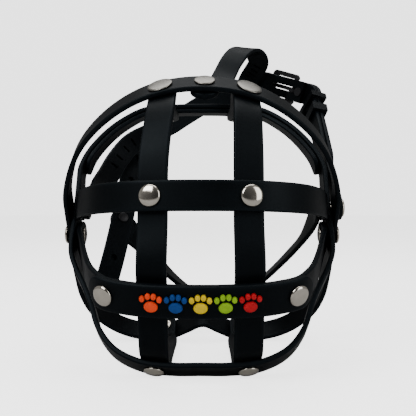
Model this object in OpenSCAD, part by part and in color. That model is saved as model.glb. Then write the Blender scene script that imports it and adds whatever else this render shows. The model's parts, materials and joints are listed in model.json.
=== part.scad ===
// Basket muzzle for a large dog: coated webbing straps riveted into an open basket, with a buckled
// neck loop that swivels on the two upper side rivets, a throat strap and a forehead strap.
// +X is the dog's left-to-right width, +Y runs from the front of the basket to the neck, +Z is up.

/* [Strap] */
// Width of every strap
strap_w = 13; // [12:0.5:14]
// Thickness of every strap
strap_t = 2.5; // [2.2:0.1:2.6]

/* [Basket] */
// Height of the side rivet crossing above the table
hub_h = 69.95; // [69:0.01:71]
// Distance from the front of the basket to the side rivet crossing
hub_y = 66; // [64:1:68]
// Lean of the top ring, top end forward
top_ring_lean = 33.4; // [32:0.1:34.5]
// Lean of the chin ring, bottom end forward
chin_ring_lean = 32.5; // [31.5:0.1:33.5]
// Rise of the two side rivets from the crossing, one up and one down
hub_gap = 6.75; // [6.5:0.05:7]
// Rise of the upper nose band from the side rivet to the front
nose_rise = 4.6; // [3:0.1:6]
// Drop of the lower nose band from the side rivet to the front
nose_drop = 21; // [20:0.5:22]
// Half distance between the two face straps
face_x = 21; // [20:0.5:22]
// Where the right face strap crosses the top ring
top_right_x = 21.5; // [18:0.5:22]
// Where the left face strap crosses the top ring
top_left_x = 18.5; // [17:0.5:22]
// Where the forehead strap crosses the top ring
top_mid_x = 1.5; // [0:0.5:2]
// Width of the badge strip
badge_w = 15; // [14:0.5:16]
// Half distance between the badge rivets
badge_x = 41; // [39:1:42]

/* [Rivets] */
// Radius of the ordinary rivet caps
cap_r = 4.7; // [4.2:0.1:5]
// Radius of the two wide caps on the bridge
wide_cap_r = 5.8; // [5:0.1:6]
// Height of a rivet cap
cap_h = 1.7; // [1.2:0.1:2.2]
// Radius of a rivet post
post_r = 1.55; // [1.4:0.05:1.55]
// Running clearance between a post and the straps
play = 0.05; // [0.03:0.01:0.1]

/* [Buckle] */
// Length of the buckle frame along the strap
buckle_l = 21; // [20:1:22]
// Width of the buckle frame across the strap
buckle_w = 19.5; // [19:0.5:21]
// Thickness of the buckle frame
buckle_t = 3; // [2.5:0.5:3]
// Radius of the heel bar that the tongue turns on
bar_r = 1.5; // [1.4:0.1:1.6]

/* [Hidden] */

black = "#17191d";
nickel = "#c9c5bb";
axis_h = hub_h + hub_gap;          // height of the swivel rivets, which the neck loop turns on
depth_mid = 81.1;                  // moves the middle of the whole depth onto Y = 0
width_mid = 2.1;                   // moves the middle of the whole width onto X = 0
bore_r = post_r + play;            // a snug hole around a rivet post
tail_h = 0.8;                      // thickness of the flat head on the far end of a rivet
gap = 0.05;                        // gap between straps that lie on each other
steps = 8;                         // most curve steps between two neighbouring route points
pace = 1.8;                        // length of a curve step where the points are closer
lay = strap_t + gap;               // one strap layer

// ---------- curves ----------
function xyz(row) = len(row) == 2 ? row : [row[0], row[1], row[2]];
function apart(a, b) = max(norm(xyz(a) - xyz(b)), 1e-6);
// Slope at b between a and c, led by the shorter side so that short straight runs stay straight
function slope(a, b, c) = let (u = apart(a, b), v = apart(b, c))
    a == b ? (c - b) / v : b == c ? (b - a) / u : (v * (b - a) / u + u * (c - b) / v) / (u + v);
function piece(a, b, c, d) = let (l = apart(b, c), m = l * slope(a, b, c), k = l * slope(b, c, d),
        n = max(1, min(steps, ceil(l / pace))))
    [for (i = [0 : n - 1]) let (s = i / n)
        (2 * s ^ 3 - 3 * s ^ 2 + 1) * b + (s ^ 3 - 2 * s ^ 2 + s) * m
        + (3 * s ^ 2 - 2 * s ^ 3) * c + (s ^ 3 - s ^ 2) * k];
function curve(p) = concat(
    [for (i = [0 : len(p) - 2]) each piece(p[max(i - 1, 0)], p[i], p[i + 1], p[min(i + 2, len(p) - 1)])],
    [p[len(p) - 1]]);
function loop(p) = [for (i = [0 : len(p) - 1])
    each piece(p[(i + len(p) - 1) % len(p)], p[i], p[(i + 1) % len(p)], p[(i + 2) % len(p)])];
function flip(p) = [for (i = [len(p) - 1 : -1 : 0]) [-p[i][0], p[i][1]]];
function back(p) = [for (i = [len(p) - 1 : -1 : 0]) p[i]];
function unit(v) = v / norm(v);
function ahead(p, i) = p[min(i + 1, len(p) - 1)] - p[max(i - 1, 0)];
function wrap(p, i) = p[(i + 1) % len(p)] - p[(i + len(p) - 1) % len(p)];
// Outward normal of a half outline that runs from the middle of one end to the middle of the other
function side(t) = unit([t[1], -t[0]]);
function inset(p, d) = [for (i = [0 : len(p) - 1]) p[i] - d * side(ahead(p, i))];
function inset_loop(p, d) = [for (i = [0 : len(p) - 1]) p[i] - d * side(wrap(p, i))];

// ---------- outlines: [x, distance from the side crossing along the plane] ----------
// Right half of each ring from the bottom middle to the top middle
top_half = [[0, -69], [8, -73.2], [16, -77.6], [28, -79.4], [39, -77.8], [47, -74.4], [55.6, -67.8],
            [63, -58], [66.8, -47], [68.3, -32], [68.5, -18], [68.5, -9], [68.5, 0], [68.5, 9], [68.3, 17],
            [65.8, 28], [59.3, 43], [45.3, 59.2], [24.3, 71.9], [0, 76]];
chin_half = [[0, -78.7], [12, -78.7], [28, -76.6], [40, -70.4], [48.2, -60], [52.8, -48], [57.2, -38.5],
             [62, -29.5], [65, -21.5], [65.7, -16], [65.7, -9], [65.7, 0], [65.7, 11], [66, 22], [66.1, 32],
             [64.4, 40], [57.8, 53.5], [46.5, 67], [33, 76.2], [16, 78.4], [0, 78.8]];
// Right half of each nose band from the side rivet to the front middle
upper_half = [[63, -7], [63, 0], [63, 7], [60.5, 18], [55.5, 33], [46, 49.5], [31, 60.6], [14, 65.2], [0, 66]];
lower_half = [[63, -7], [63, 0], [63, 6], [60.6, 14], [57.6, 25], [54.9, 34.5], [47.8, 52.5], [42, 60.2],
              [32, 65], [14, 68], [0, 68.6]];

function ring_loop(half) = loop(concat(half, flip([for (i = [1 : len(half) - 2]) half[i]])));
function band_curve(half) = curve(concat(half, flip([for (i = [0 : len(half) - 2]) half[i]])));
top_outline = ring_loop(top_half);
chin_outline = ring_loop(chin_half);
upper_outline = band_curve(upper_half);
lower_outline = band_curve(lower_half);

// ---------- planes: [origin, turn about X] ----------
crossing = [0, hub_y, -hub_gap];
chin_twist = chin_ring_lean;          // brings the chin ring's top to the horizontal
top_plane = [crossing, 90 + top_ring_lean];
chin_plane = [crossing, 90 - chin_ring_lean];
upper_plane = [[0, hub_y, 0], 180 - nose_rise];
lower_plane = [[0, hub_y, -2 * hub_gap], 180 + nose_drop];
function turn(v, a) = [v[0], v[1] * cos(a), v[1] * sin(a)];

// Turn of a ring's outer normal about X: the chin ring twists until its top lies level
function roll(plane, v, twist) = plane[1] + twist * smooth((v - 8) / 30);
function smooth(s) = let (k = min(max(s, 0), 1)) k * k * (3 - 2 * k);
function facing(plane, n, run, v, twist) = let (
    a = roll(plane, v, twist), face = [n[0], n[1] * cos(a), n[1] * sin(a)])
    unit(face - (face * run) * run);

// Station where an outline passes x, on the far (+1) or near (-1) half:
// [point, outward normal, direction across the strap, extra room under a curved strap]
function nearest(p, x, half) = let (d = [for (q = p) q[1] * half > 0 ? abs(q[0] - x) : 1e3])
    [for (i = [0 : len(p) - 1]) if (d[i] == min(d)) i][0];
function station(plane, p, x, half, room, twist = 0) = let (
    last = len(p),
    i = nearest(p, x, half),
    chord = unit(p[(i + 3) % last] - p[(i + last - 3) % last]),
    at = p[i] + chord * (x - p[i][0]) / chord[0],
    run = turn(chord, plane[1]),
    n = facing(plane, side(chord), run, at[1], twist))
    [plane[0] + turn(at, plane[1]), n, unit(cross(run, n)), room];

top_right = station(top_plane, top_outline, top_right_x, 1, 0.6);
top_left = station(top_plane, top_outline, top_left_x, 1, 0.4);     // mirrored where it is used
top_mid = station(top_plane, top_outline, top_mid_x, 1, 0.5);
top_floor = station(top_plane, top_outline, face_x, -1, 0.8);
chin_front = station(chin_plane, chin_outline, face_x, -1, 0.5);
chin_rear = station(chin_plane, chin_outline, face_x, 1, 0.5, chin_twist);
upper_front = station(upper_plane, upper_outline, face_x, 1, 0.4);
lower_front = station(lower_plane, lower_outline, face_x, 1, 0.4);
lower_badge = station(lower_plane, lower_outline, badge_x - 1.5, 1, 0);

// ---------- solids ----------
module placed() translate([-width_mid, -depth_mid, axis_h]) children();

module in_plane(plane, width)
    translate(plane[0]) rotate([plane[1], 0, 0])
        linear_extrude(height = width, center = true) children();

module ring_strip(outline)
    polygon(concat(outline, inset_loop(outline, strap_t)),
            [[for (i = [0 : len(outline) - 1]) i], [for (i = [0 : len(outline) - 1]) i + len(outline)]]);

module open_strip(outline, thickness = strap_t)
    polygon(concat(outline, back(inset(outline, thickness))));

// A flat strap through rows of [x, y, z, nx, ny, nz]; n points out of its outer face
module strap(rows, closed = false) {
    count = len(rows);
    last = count - 1;
    pos = [for (q = rows) [q[0], q[1], q[2]]];
    tan = [for (i = [0 : last]) unit(closed ? wrap(pos, i) : ahead(pos, i))];
    nor = [for (i = [0 : last]) let (n = [rows[i][3], rows[i][4], rows[i][5]]) unit(n - (n * tan[i]) * tan[i])];
    wid = [for (i = [0 : last]) cross(tan[i], nor[i])];
    corner = [[1, 1], [1, -1], [-1, -1], [-1, 1]];
    points = [for (i = [0 : last], c = corner)
        pos[i] + wid[i] * c[0] * strap_w / 2 + nor[i] * c[1] * strap_t / 2];
    sides = [for (i = [0 : closed ? last : last - 1], k = [0 : 3]) let (
            a = 4 * i + k, b = 4 * i + (k + 1) % 4,
            c = (a + 4) % (4 * count), d = (b + 4) % (4 * count))
        each [[a, c, b], [b, c, d]]];
    ends = closed ? [] : [[0, 1, 2], [0, 2, 3], [4 * last, 4 * last + 2, 4 * last + 1],
                          [4 * last, 4 * last + 3, 4 * last + 2]];
    polyhedron(points, concat(sides, ends));
}
module swept(route) strap(curve(route));

// Rows of a ring whose outer face lies `depth` inside its outline
function ring_rows(plane, p, depth, twist) = [for (i = [0 : len(p) - 1]) let (
    t = unit(wrap(p, i)),
    n = facing(plane, side(t), turn(t, plane[1]), p[i][1], twist))
    concat(plane[0] + turn(p[i], plane[1]) - n * (depth + strap_t / 2), n)];

module along(p, d) translate(p) rotate([0, acos(d[2] / norm(d)), atan2(d[1], d[0])]) children();

module rivet(s, grip, r = cap_r, tint = nickel) color(tint) along(s[0], s[1]) {
    rotate_extrude($fn = 48) polygon(concat([[0, 0], [r, 0], [r, 0.5]],
        [for (a = [15 : 15 : 90]) [r * cos(a), 0.5 + (cap_h - 0.5) * sin(a)]]));
    translate([0, 0, -grip - tail_h]) cylinder(r = post_r, h = grip + tail_h + 0.1, $fn = 32);
    translate([0, 0, -grip - tail_h]) cylinder(r = r * 0.8, h = tail_h, $fn = 48);
}
module bore(s) along(s[0], s[1]) cylinder(r = bore_r, h = 60, center = true, $fn = 32);

module both_sides() {
    children();
    mirror([1, 0, 0]) children();
}

// ---------- rings and bands of the basket ----------
side_face = 68.5;                    // outer face of the top ring at the side crossing
band_face = 63;                      // outer face of a nose band there
inner_x = band_face - strap_t - 0.25 - strap_t / 2;     // middle of a strap inside the nose band
outer_x = side_face + 0.2 + strap_t / 2;                // middle of a strap outside the top ring
swivel_left = [[-side_face - 0.05, hub_y, 0], [-1, 0, 0]];
swivel_right = [[outer_x + strap_t / 2 + 0.05, hub_y, 0], [1, 0, 0]];
inner_end = inner_x - strap_t / 2 - 0.2;                // inner face of the innermost strap
lower_side = [[side_face + 0.05, hub_y, -2 * hub_gap], [1, 0, 0]];

module side_bores() both_sides() {
    bore([[side_face, hub_y, 0], [1, 0, 0]]);
    bore(lower_side);
}

module top_ring() color(black) placed() difference() {
    in_plane(top_plane, strap_w) ring_strip(top_outline);
    side_bores();
    both_sides() bore(top_floor);
    bore(top_right);
    bore(top_mid);
    mirror([1, 0, 0]) bore(top_left);
}
module chin_ring() color(black) placed() difference() {
    strap(ring_rows(chin_plane, chin_outline, 0, chin_twist), true);
    side_bores();
    both_sides() { bore(chin_front); bore(chin_rear); }
}
// Second layer under the rear bridge, a piece of the chin ring's upper arc
liner_end = 31;                      // place of its two ends along the chin ring's outline
module bridge_liner() color(black) placed() difference() {
    strap([for (i = [0 : len(chin_outline) - 1]) if (chin_outline[i][1] > liner_end)
        ring_rows(chin_plane, chin_outline, lay + 0.2, chin_twist)[i]]);
    both_sides() bore(chin_rear);
}

// Keeps a nose band's two ends round about the rivet at (y, z)
module round_ends(y, z) intersection() {
    children();
    union() {
        translate([-100, y - 100, z - 60]) cube([200, 100, 120]);
        translate([-100, y, z]) rotate([0, 90, 0]) cylinder(r = strap_w / 2, h = 200, $fn = 64);
    }
}
module upper_nose_band() color(black) placed() difference() {
    round_ends(hub_y, 0) in_plane(upper_plane, strap_w) open_strip(upper_outline);
    side_bores();
    both_sides() bore(upper_front);
}
module lower_nose_band() color(black) placed() difference() {
    round_ends(hub_y, -2 * hub_gap) in_plane(lower_plane, strap_w) open_strip(lower_outline);
    side_bores();
    both_sides() bore(lower_badge);
}
// Wider strip over the front of the lower nose band, with round ends about its two rivets
module badge_strip() color(black) placed() difference() {
    intersection() {
        in_plane(lower_plane, badge_w) open_strip(inset(lower_outline, -lay));
        badge_outline();
    }
    both_sides() bore(lower_badge);
}
module badge_outline() translate(lower_plane[0]) rotate([lower_plane[1] - 90, 0, 0])
    mirror([0, 1, 0]) linear_extrude(height = 100) union() {
        square([2 * badge_x, badge_w], center = true);
        both_sides() translate([badge_x, 0]) circle(r = badge_w / 2, $fn = 48);
    }

// Raised soft shapes on the badge strip: one paw print per node, side by side
paw_h = 1.2;                         // rise of a print above the strip
paw_pitch = 10;                      // distance between neighbouring prints
paw_r = 2.9;                         // radius of the pad
toe_r = 1.2;                         // radius of a toe
module paw(slot) {
    s = station(lower_plane, lower_outline, slot * paw_pitch, 1, 0);
    along(s[0] + (lay + 0.1) * s[1], s[1]) rotate([0, 0, 90]) {
        translate([0, -1.75, 0]) cylinder(r = paw_r, h = paw_h, $fn = 40);
        for (toe = [-1.5 : 1 : 1.5])
            translate([toe * 2.4, 3.1 - 0.6 * toe * toe, 0]) cylinder(r = toe_r, h = paw_h, $fn = 24);
    }
}
module paw_orange() color("#e8762c") placed() paw(-2);
module paw_blue() color("#2a63b5") placed() paw(-1);
module paw_yellow() color("#e6b422") placed() paw(0);
module paw_green() color("#6fae33") placed() paw(1);
module paw_red() color("#cf2a32") placed() paw(2);

// ---------- the two long face straps ----------
// Middle of the strap below `layers` other layers at a station, moved along the crossing strap
function under(s, layers, shift) =
    concat(s[0] - s[1] * (layers * lay + s[3] + strap_t / 2) + shift * s[2], s[1]);
function crossed(s, layers, dir, first = 9, last = 9) =
    [for (d = [-first, -6.5, 0, 6.5, last]) under(s, layers, dir * d)];
function face_route(top) = concat(
    crossed(chin_rear, 2, -1),
    [[21.3, 84, 54.3, 0.05, 0.1, 1], [20.8, 62, 56.2, 0.1, 0, 1], [20.4, 46, 55.2, 0.2, -0.3, 1]],
    crossed(top, 1, -1), crossed(upper_front, 1, -1), crossed(lower_front, 1, -1),
    crossed(chin_front, 1, 1, 9, 7),
    [[20.5, 40, -72.4, 0, 0, -1], [20.5, 62, -72.4, 0, 0, -1], [20.5, 88, -72.4, 0, 0, -1]],
    crossed(top_floor, 1, 1, 7, 8));
module face_strap(top) color(black) difference() {
    swept(face_route(top));
    bore(chin_rear);
    bore(top);
    bore(upper_front);
    bore(chin_front);
    bore(top_floor);
}
module face_strap_right() placed() face_strap(top_right);
module face_strap_left() placed() mirror([1, 0, 0]) face_strap(top_left);

// ---------- rivets of the basket ----------
module rivet_at(s, layers, r = cap_r) rivet([s[0] + 0.1 * s[1], s[1]], layers * lay + s[3] + 0.15, r);
module bridge_rivets() placed() {
    rivet_at(top_right, 2, wide_cap_r);
    mirror([1, 0, 0]) rivet_at(top_left, 2, wide_cap_r);
}
module forehead_rivet() placed() rivet_at(top_mid, 2);
module nose_rivets() placed() both_sides() rivet_at(upper_front, 2);
module badge_rivets() placed() both_sides()
    rivet([lower_badge[0] + (lay + 0.15) * lower_badge[1], lower_badge[1]], 2 * lay + 0.7);
module chin_rivets() placed() both_sides() rivet_at(chin_front, 2);
module floor_rivets() placed() both_sides() rivet_at(top_floor, 2);
module rear_bridge_rivets() placed() both_sides() rivet_at(chin_rear, 3);
module lower_side_rivets() placed() both_sides() rivet(lower_side, side_face - band_face + lay);
module swivel_rivet_left() placed() rivet(swivel_left, side_face - inner_end);
module swivel_rivet_right() placed() rivet(swivel_right, swivel_right[0][0] - inner_end);

// ---------- buckle frame of reference ----------
buckle_at = [51.8, 147, 78];
buckle_pitch = 20.5;                         // fall of the buckle towards the right side
buckle_yaw = -46.7;                          // turn of the buckle about Z
buckle_t_dir = [cos(buckle_pitch) * cos(buckle_yaw), cos(buckle_pitch) * sin(buckle_yaw), -sin(buckle_pitch)];
buckle_n_dir = [-sin(buckle_yaw), cos(buckle_yaw), 0];
heel = 9;                                    // distance of the heel bar from the middle of the frame
tongue_w = 2.4;
function on_buckle(t, n) = concat(buckle_at + t * buckle_t_dir + n * buckle_n_dir, buckle_n_dir);
// Local axes of a child: X along the strap, Y across it, Z out of it
module at_buckle() translate(buckle_at) rotate([-90, buckle_pitch, buckle_yaw]) children();

// ---------- neck loop ----------
small_cap_r = 3.6;
function normal(row) = unit([row[3], row[4], row[5]]);
function over(row, d) = concat(xyz(row) + d * normal(row), normal(row));
// Row i of a route with its normal square to the route, which is what the strap there has
function squared(route, i) = let (
    t = unit(xyz(slope(route[i - 1], route[i], route[i + 1]))), n = normal(route[i]))
    concat(xyz(route[i]), unit(n - (n * t) * t));
// Direction `way` laid into the face of a strap with normal n
function in_face(way, n) = unit(way - (way * n) * n);
function face_of(row) = [xyz(row) + (strap_t / 2 + 0.05) * normal(row), normal(row)];
neck_right_route = [
    on_buckle(12.6, 0), on_buckle(18, 0), on_buckle(22, -0.1), [66, 129, 65.5, 0.93, 0.27, -0.25],
    [66, 125.5, 61.8, 0.96, 0.2, -0.19], [66, 119, 55, 0.97, 0.17, -0.16],
    [66.2, 112.5, 48.2, 0.97, 0.17, -0.16], [67, 105, 39.5, 1, 0.12, -0.08], [67.8, 96, 29, 1, 0.05, -0.03],
    [68.5, 84, 16.5, 1, 0, 0], [69.3, 76, 9, 1, 0, 0], [outer_x, 71, 4.3, 1, 0, 0], [outer_x, hub_y, 0, 1, 0, 0],
    [outer_x, 61.4, -4, 1, 0, 0]];
tail_lift = lay + 0.25;                      // the buckled end over the right strap
neck_left_route = concat(
    [[-inner_x, 61.2, -3, -1, 0, 0], [-inner_x, hub_y, 0, -1, 0, 0], [-inner_x, 70.5, 2.6, -1, 0, 0],
     [-58.3, 77, 6, -1, 0.1, 0], [-56.9, 87, 10.5, -0.85, 0.5, -0.15], [-55, 100, 16.5, -0.65, 0.75, -0.3],
     [-50, 115, 29.5, -0.6, 0.75, -0.4], [-43, 129, 40.5, -0.55, 0.8, -0.2],
     [-37, 136.5, 45, -0.5, 0.83, -0.05], [-31, 142.5, 48.7, -0.42, 0.88, 0],
     [-22, 149, 53.7, -0.35, 0.93, 0], [-11, 154.5, 61.5, -0.22, 0.97, 0],
     [1, 158.8, 69.3, -0.1, 0.99, 0], [12, 161.5, 74.3, 0, 1, 0], [20.5, 162.6, 76.8, 0.1, 1, 0],
     [28, 162.2, 78.6, 0.15, 0.99, 0], [36, 159.2, 80.9, 0.45, 0.9, 0],
     on_buckle(-14, -3.1), on_buckle(-10, -3.1), on_buckle(-6.5, -2.9), on_buckle(0, 1.2),
     on_buckle(7, 5.8), on_buckle(13, 6.1), on_buckle(19.3, 6)],
    [over(squared(neck_right_route, 3), tail_lift + 0.65)],
    [for (i = [4 : 8]) over(squared(neck_right_route, i), tail_lift)],
    [over([68.15, 90, 22.6, 1, 0.02, -0.01], tail_lift)]);
nape_row = squared(neck_left_route, 15);     // where the forehead strap's end is riveted on
size_row = squared(neck_left_route, 8);      // where the size strap is riveted on
nape = face_of(nape_row);
module neck_strap_left() color(black) placed() difference() {
    swept(neck_left_route);
    bore(swivel_left);
    bore(nape);
    bore(size_at);
    at_buckle() translate([-7, -tongue_w / 2 - 0.4, -8]) cube([16.5, tongue_w + 0.8, 16]);
}
module neck_strap_right() color(black) placed() difference() {
    swept(neck_right_route);
    bore(swivel_right);
    at_buckle() translate([chape_end, 0, -5]) cylinder(r = bore_r, h = 10, $fn = 32);
}

// ---------- forehead strap ----------
under_nape = over(nape_row, -lay - 1.7);     // its end lies inside the neck loop at the nape rivet
nape_dir = in_face([0.42, 0, 1], normal(nape_row));
forehead_route = concat(
    [for (d = [-8, -5, 0, 6.5, 9]) under(top_mid, 1, d)],
    [[2, 47, 61.2, 0, -0.2, 1], [4, 62, 63.8, 0, -0.1, 1], [6.5, 80, 65.5, 0.05, -0.1, 1],
     [9, 96, 69, 0.15, -0.4, 0.9], [12.5, 107, 77, 0.25, -0.7, 0.7], [17.6, 116, 88, 0.25, -0.6, 0.75],
     [22.7, 123.5, 95, 0.25, -0.3, 0.9], [28.3, 131, 98, 0.3, 0.1, 1], [33, 138, 97, 0.3, 0.5, 0.8],
     [35.4, 144.5, 93.2, 0.2, 0.8, 0.5], [32.8, 152, 89, 0.15, 0.9, 0.35]],
    [for (d = [6, 3.5, 0, -6]) concat(xyz(under_nape) + d * nape_dir, normal(nape_row))]);
module forehead_strap() color(black) placed() difference() {
    swept(forehead_route);
    bore(top_mid);
    bore(nape);
}
module nape_rivet() placed() rivet(nape, 2 * lay + 2.1, small_cap_r, black);

// ---------- size strap and throat strap ----------
size_top = over(size_row, lay + 0.3);
size_dir = in_face([0.2, 0.12, 0.97], normal(size_top));
size_route = concat([
    [-55.5, 91.5, -51, -0.4, 0.85, -0.37], [-54, 95.5, -42, -0.4, 0.85, -0.37],
    [-51, 100.5, -28.5, -0.4, 0.85, -0.37], [-47, 110, -6, -0.4, 0.85, -0.37],
    [-44.3, 124, 17, -0.45, 0.85, -0.35], [-41.8, 134, 31, -0.5, 0.83, -0.2]],
    [for (d = [-8, -5, 0, 6.5]) concat(xyz(size_top) + d * size_dir, normal(size_top))]);
size_at = face_of(size_top);
stud_n = unit([-0.4, 0.85, -0.37]);
stud_dir = [-0.638, 0.038, 0.769];           // way the throat strap crosses the size strap
stud_mid = [-47, 110, -6] + (lay + 0.6) * stud_n;
stud_at = [stud_mid + (strap_t / 2 + 0.05) * stud_n, stud_n];
module size_strap() color(black) placed() difference() {
    swept(size_route);
    bore(size_at);
    bore(stud_at);
    for (i = [1, 2, 4, 5]) along(xyz(size_route[i]), stud_n)
        cylinder(r = 1.8, h = 10, center = true, $fn = 24);
}
throat_route = concat([
    [inner_x, 61, 3.4, 1, 0, 0], [inner_x, hub_y, 0, 1, 0, 0], [inner_x, 71, -2.8, 1, 0, 0],
    [58, 77.5, -7.4, 1, 0, -0.05],
    [53.5, 91, -19, 0.85, 0, -0.5], [47, 106, -29.5, 0.78, 0, -0.6], [38, 120, -41, 0.7, 0, -0.7],
    [26, 130, -52.5, 0.5, 0, -0.85], [11, 134.5, -58.5, 0, 0.1, -1], [-2, 135, -55.5, -0.4, 0.1, -0.9],
    [-14, 133.5, -47, -0.6, 0.1, -0.8], [-26, 128.5, -35, -0.65, 0.3, -0.7],
    [-36, 119.5, -23, -0.55, 0.6, -0.6]],
    [for (d = [-9, -6.5, 0, 6.5]) concat(stud_mid + d * stud_dir, stud_n)]);
module throat_strap() color(black) placed() difference() {
    swept(throat_route);
    bore(swivel_right);
    bore(stud_at);
}
module size_rivet() placed() rivet(size_at, 2 * lay + 1, small_cap_r, black);
module throat_stud() placed() rivet(stud_at, 2 * lay + 0.9, small_cap_r, black);

// ---------- buckle ----------
module round_box(l, w, r) {
    square([l - 2 * r, w], center = true);
    square([l, w - 2 * r], center = true);
    for (sx = [-1, 1], sy = [-1, 1])
        translate([sx * (l / 2 - r), sy * (w / 2 - r)]) circle(r = r, $fn = 32);
}
module across_bar(r, l) rotate([90, 0, 0]) cylinder(r = r, h = l, center = true, $fn = 48);

module buckle_frame() color(black) placed() at_buckle() {
    difference() {
        translate([0, 0, -buckle_t / 2]) linear_extrude(height = buckle_t) difference() {
            round_box(buckle_l, buckle_w, 3);
            translate([0.75, 0]) round_box(buckle_l - 4.5, strap_w + 0.6, 1);
        }
        translate([heel - 1.8, -strap_w / 2 - 0.5, -4]) cube([10, strap_w + 1, 8]);
    }
    translate([heel, 0, 0]) across_bar(bar_r, strap_w + 2);
}
module buckle_tongue() color(black) placed() at_buckle() difference() {
    union() {
        translate([heel, 0, 0]) across_bar(bar_r + 1.5, 2.8);
        translate([-heel - 2.4, -tongue_w / 2, buckle_t / 2 + 0.12]) cube([2 * heel + 2.4, tongue_w, 1.3]);
    }
    translate([heel, 0, 0]) across_bar(bar_r + play, 10);
}
chape_l = 10;                                // length of the folded piece's legs
chape_end = heel + chape_l - 3;              // place of its rivet
// Short strap piece folded around the heel bar, with the right neck strap's end between its legs
module buckle_chape() color(black) placed() at_buckle() difference() {
    fold_in = bar_r + 0.15;
    fold_out = fold_in + strap_t;
    rotate([90, 0, 0]) linear_extrude(height = strap_w, center = true) union() {
        difference() {
            translate([heel, 0]) circle(r = fold_out, $fn = 64);
            translate([heel, 0]) circle(r = fold_in, $fn = 64);
            translate([heel, -10]) square([10, 20]);
        }
        for (leg = [fold_in, -fold_out]) translate([heel, leg]) square([chape_l, strap_t]);
    }
    translate([0, -1.9, -8]) cube([heel + 4.6, 3.8, 16]);
    translate([chape_end, 0, -8]) cylinder(r = bore_r, h = 16, $fn = 32);
}
module chape_rivet() color(black) placed() at_buckle() translate([chape_end, 0, 0]) {
    reach = bar_r + 0.15 + strap_t;
    translate([0, 0, -reach - tail_h]) cylinder(r = 2.6, h = tail_h, $fn = 32);
    translate([0, 0, -reach - tail_h]) cylinder(r = post_r, h = 2 * reach + tail_h + 0.3, $fn = 32);
    translate([0, 0, reach + 0.02]) cylinder(r = 2.6, h = 0.3, $fn = 32);
}

// ---------- keepers: flat rings around both layers of the neck strap ----------
keeper_wall = 1.4;
two_layers = 2 * strap_t + 0.3;              // both layers of the neck strap with the gap between them
straight = [0, 6.5, 6.8];                    // way of both layers through the keepers
// Ring about a row of the inner layer; `way` is the direction of the strap there
module keeper(row, way, length, room) {
    x_dir = unit(way);
    z_dir = unit(normal(row) - (normal(row) * x_dir) * x_dir);
    y_dir = cross(z_dir, x_dir);
    multmatrix([[x_dir[0], y_dir[0], z_dir[0], row[0]], [x_dir[1], y_dir[1], z_dir[1], row[1]],
                [x_dir[2], y_dir[2], z_dir[2], row[2]]])
        translate([0, 0, (two_layers - strap_t) / 2]) rotate([90, 0, 90])
            linear_extrude(height = length, center = true) difference() {
                square([strap_w, two_layers] + 2 * (room + keeper_wall) * [1, 1], center = true);
                square([strap_w, two_layers] + 2 * room * [1, 1], center = true);
            }
}
module sliding_keeper() color(black) placed() keeper(neck_right_route[5], straight, 6, 0.5);
module fixed_keeper() color(black) placed()
    keeper([66, 127.3, 63.65, 0.945, 0.235, -0.22], straight, 4.5, 0.85);

top_ring();
chin_ring();
bridge_liner();
upper_nose_band();
lower_nose_band();
badge_strip();
paw_orange();
paw_blue();
paw_yellow();
paw_green();
paw_red();
face_strap_left();
face_strap_right();
bridge_rivets();
forehead_rivet();
nose_rivets();
badge_rivets();
chin_rivets();
floor_rivets();
rear_bridge_rivets();
lower_side_rivets();
swivel_rivet_left();
swivel_rivet_right();
forehead_strap();
neck_strap_left();
neck_strap_right();
size_strap();
throat_strap();
nape_rivet();
size_rivet();
throat_stud();
buckle_frame();
buckle_tongue();
buckle_chape();
chape_rivet();
sliding_keeper();
fixed_keeper();
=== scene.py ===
import json
import math

import bmesh
import bpy
import numpy as np
from mathutils import Matrix, Vector

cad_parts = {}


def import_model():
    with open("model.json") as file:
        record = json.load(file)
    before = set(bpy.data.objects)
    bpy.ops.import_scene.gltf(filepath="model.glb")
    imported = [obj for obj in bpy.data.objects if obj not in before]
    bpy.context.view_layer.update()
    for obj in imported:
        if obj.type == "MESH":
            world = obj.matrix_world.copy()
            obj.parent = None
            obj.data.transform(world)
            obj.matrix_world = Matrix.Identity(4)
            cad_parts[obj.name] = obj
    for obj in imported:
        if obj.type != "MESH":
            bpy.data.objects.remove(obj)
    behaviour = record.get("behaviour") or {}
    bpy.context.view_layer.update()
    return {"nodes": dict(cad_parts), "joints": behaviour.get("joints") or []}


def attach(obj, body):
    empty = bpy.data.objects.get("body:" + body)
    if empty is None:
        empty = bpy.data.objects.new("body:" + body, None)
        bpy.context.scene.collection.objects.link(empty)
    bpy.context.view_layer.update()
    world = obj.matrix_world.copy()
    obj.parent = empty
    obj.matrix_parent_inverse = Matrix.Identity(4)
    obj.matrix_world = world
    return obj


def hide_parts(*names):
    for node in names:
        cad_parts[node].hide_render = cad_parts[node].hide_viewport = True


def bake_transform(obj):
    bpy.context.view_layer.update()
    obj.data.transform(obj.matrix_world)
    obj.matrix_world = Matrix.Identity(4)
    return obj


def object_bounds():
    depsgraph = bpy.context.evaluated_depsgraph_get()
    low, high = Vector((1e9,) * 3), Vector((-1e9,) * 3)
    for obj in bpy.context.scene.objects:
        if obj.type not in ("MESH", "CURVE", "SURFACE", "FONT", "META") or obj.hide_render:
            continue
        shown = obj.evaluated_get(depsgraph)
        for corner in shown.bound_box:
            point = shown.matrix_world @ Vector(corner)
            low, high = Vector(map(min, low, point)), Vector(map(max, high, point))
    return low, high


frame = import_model()

# A basket muzzle of black coated webbing: straps swept along the CAD's own routes with rounded edges, domed
# rivets, coloured paw prints on the badge strip, and the CAD's buckle with its edges softened.

# ---------------------------------------------------------------- sizes, in millimetres
# The design frame of the straps has its origin 66 mm in front of the swivel rivets' axis.
HUB_Y = 66.0
SWIVEL = next(j for j in frame["joints"] if j["name"] == "neck_swivel")["pos_m"]
ORIGIN = np.array(SWIVEL) * 1000 - np.array([0, HUB_Y, 0])

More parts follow.
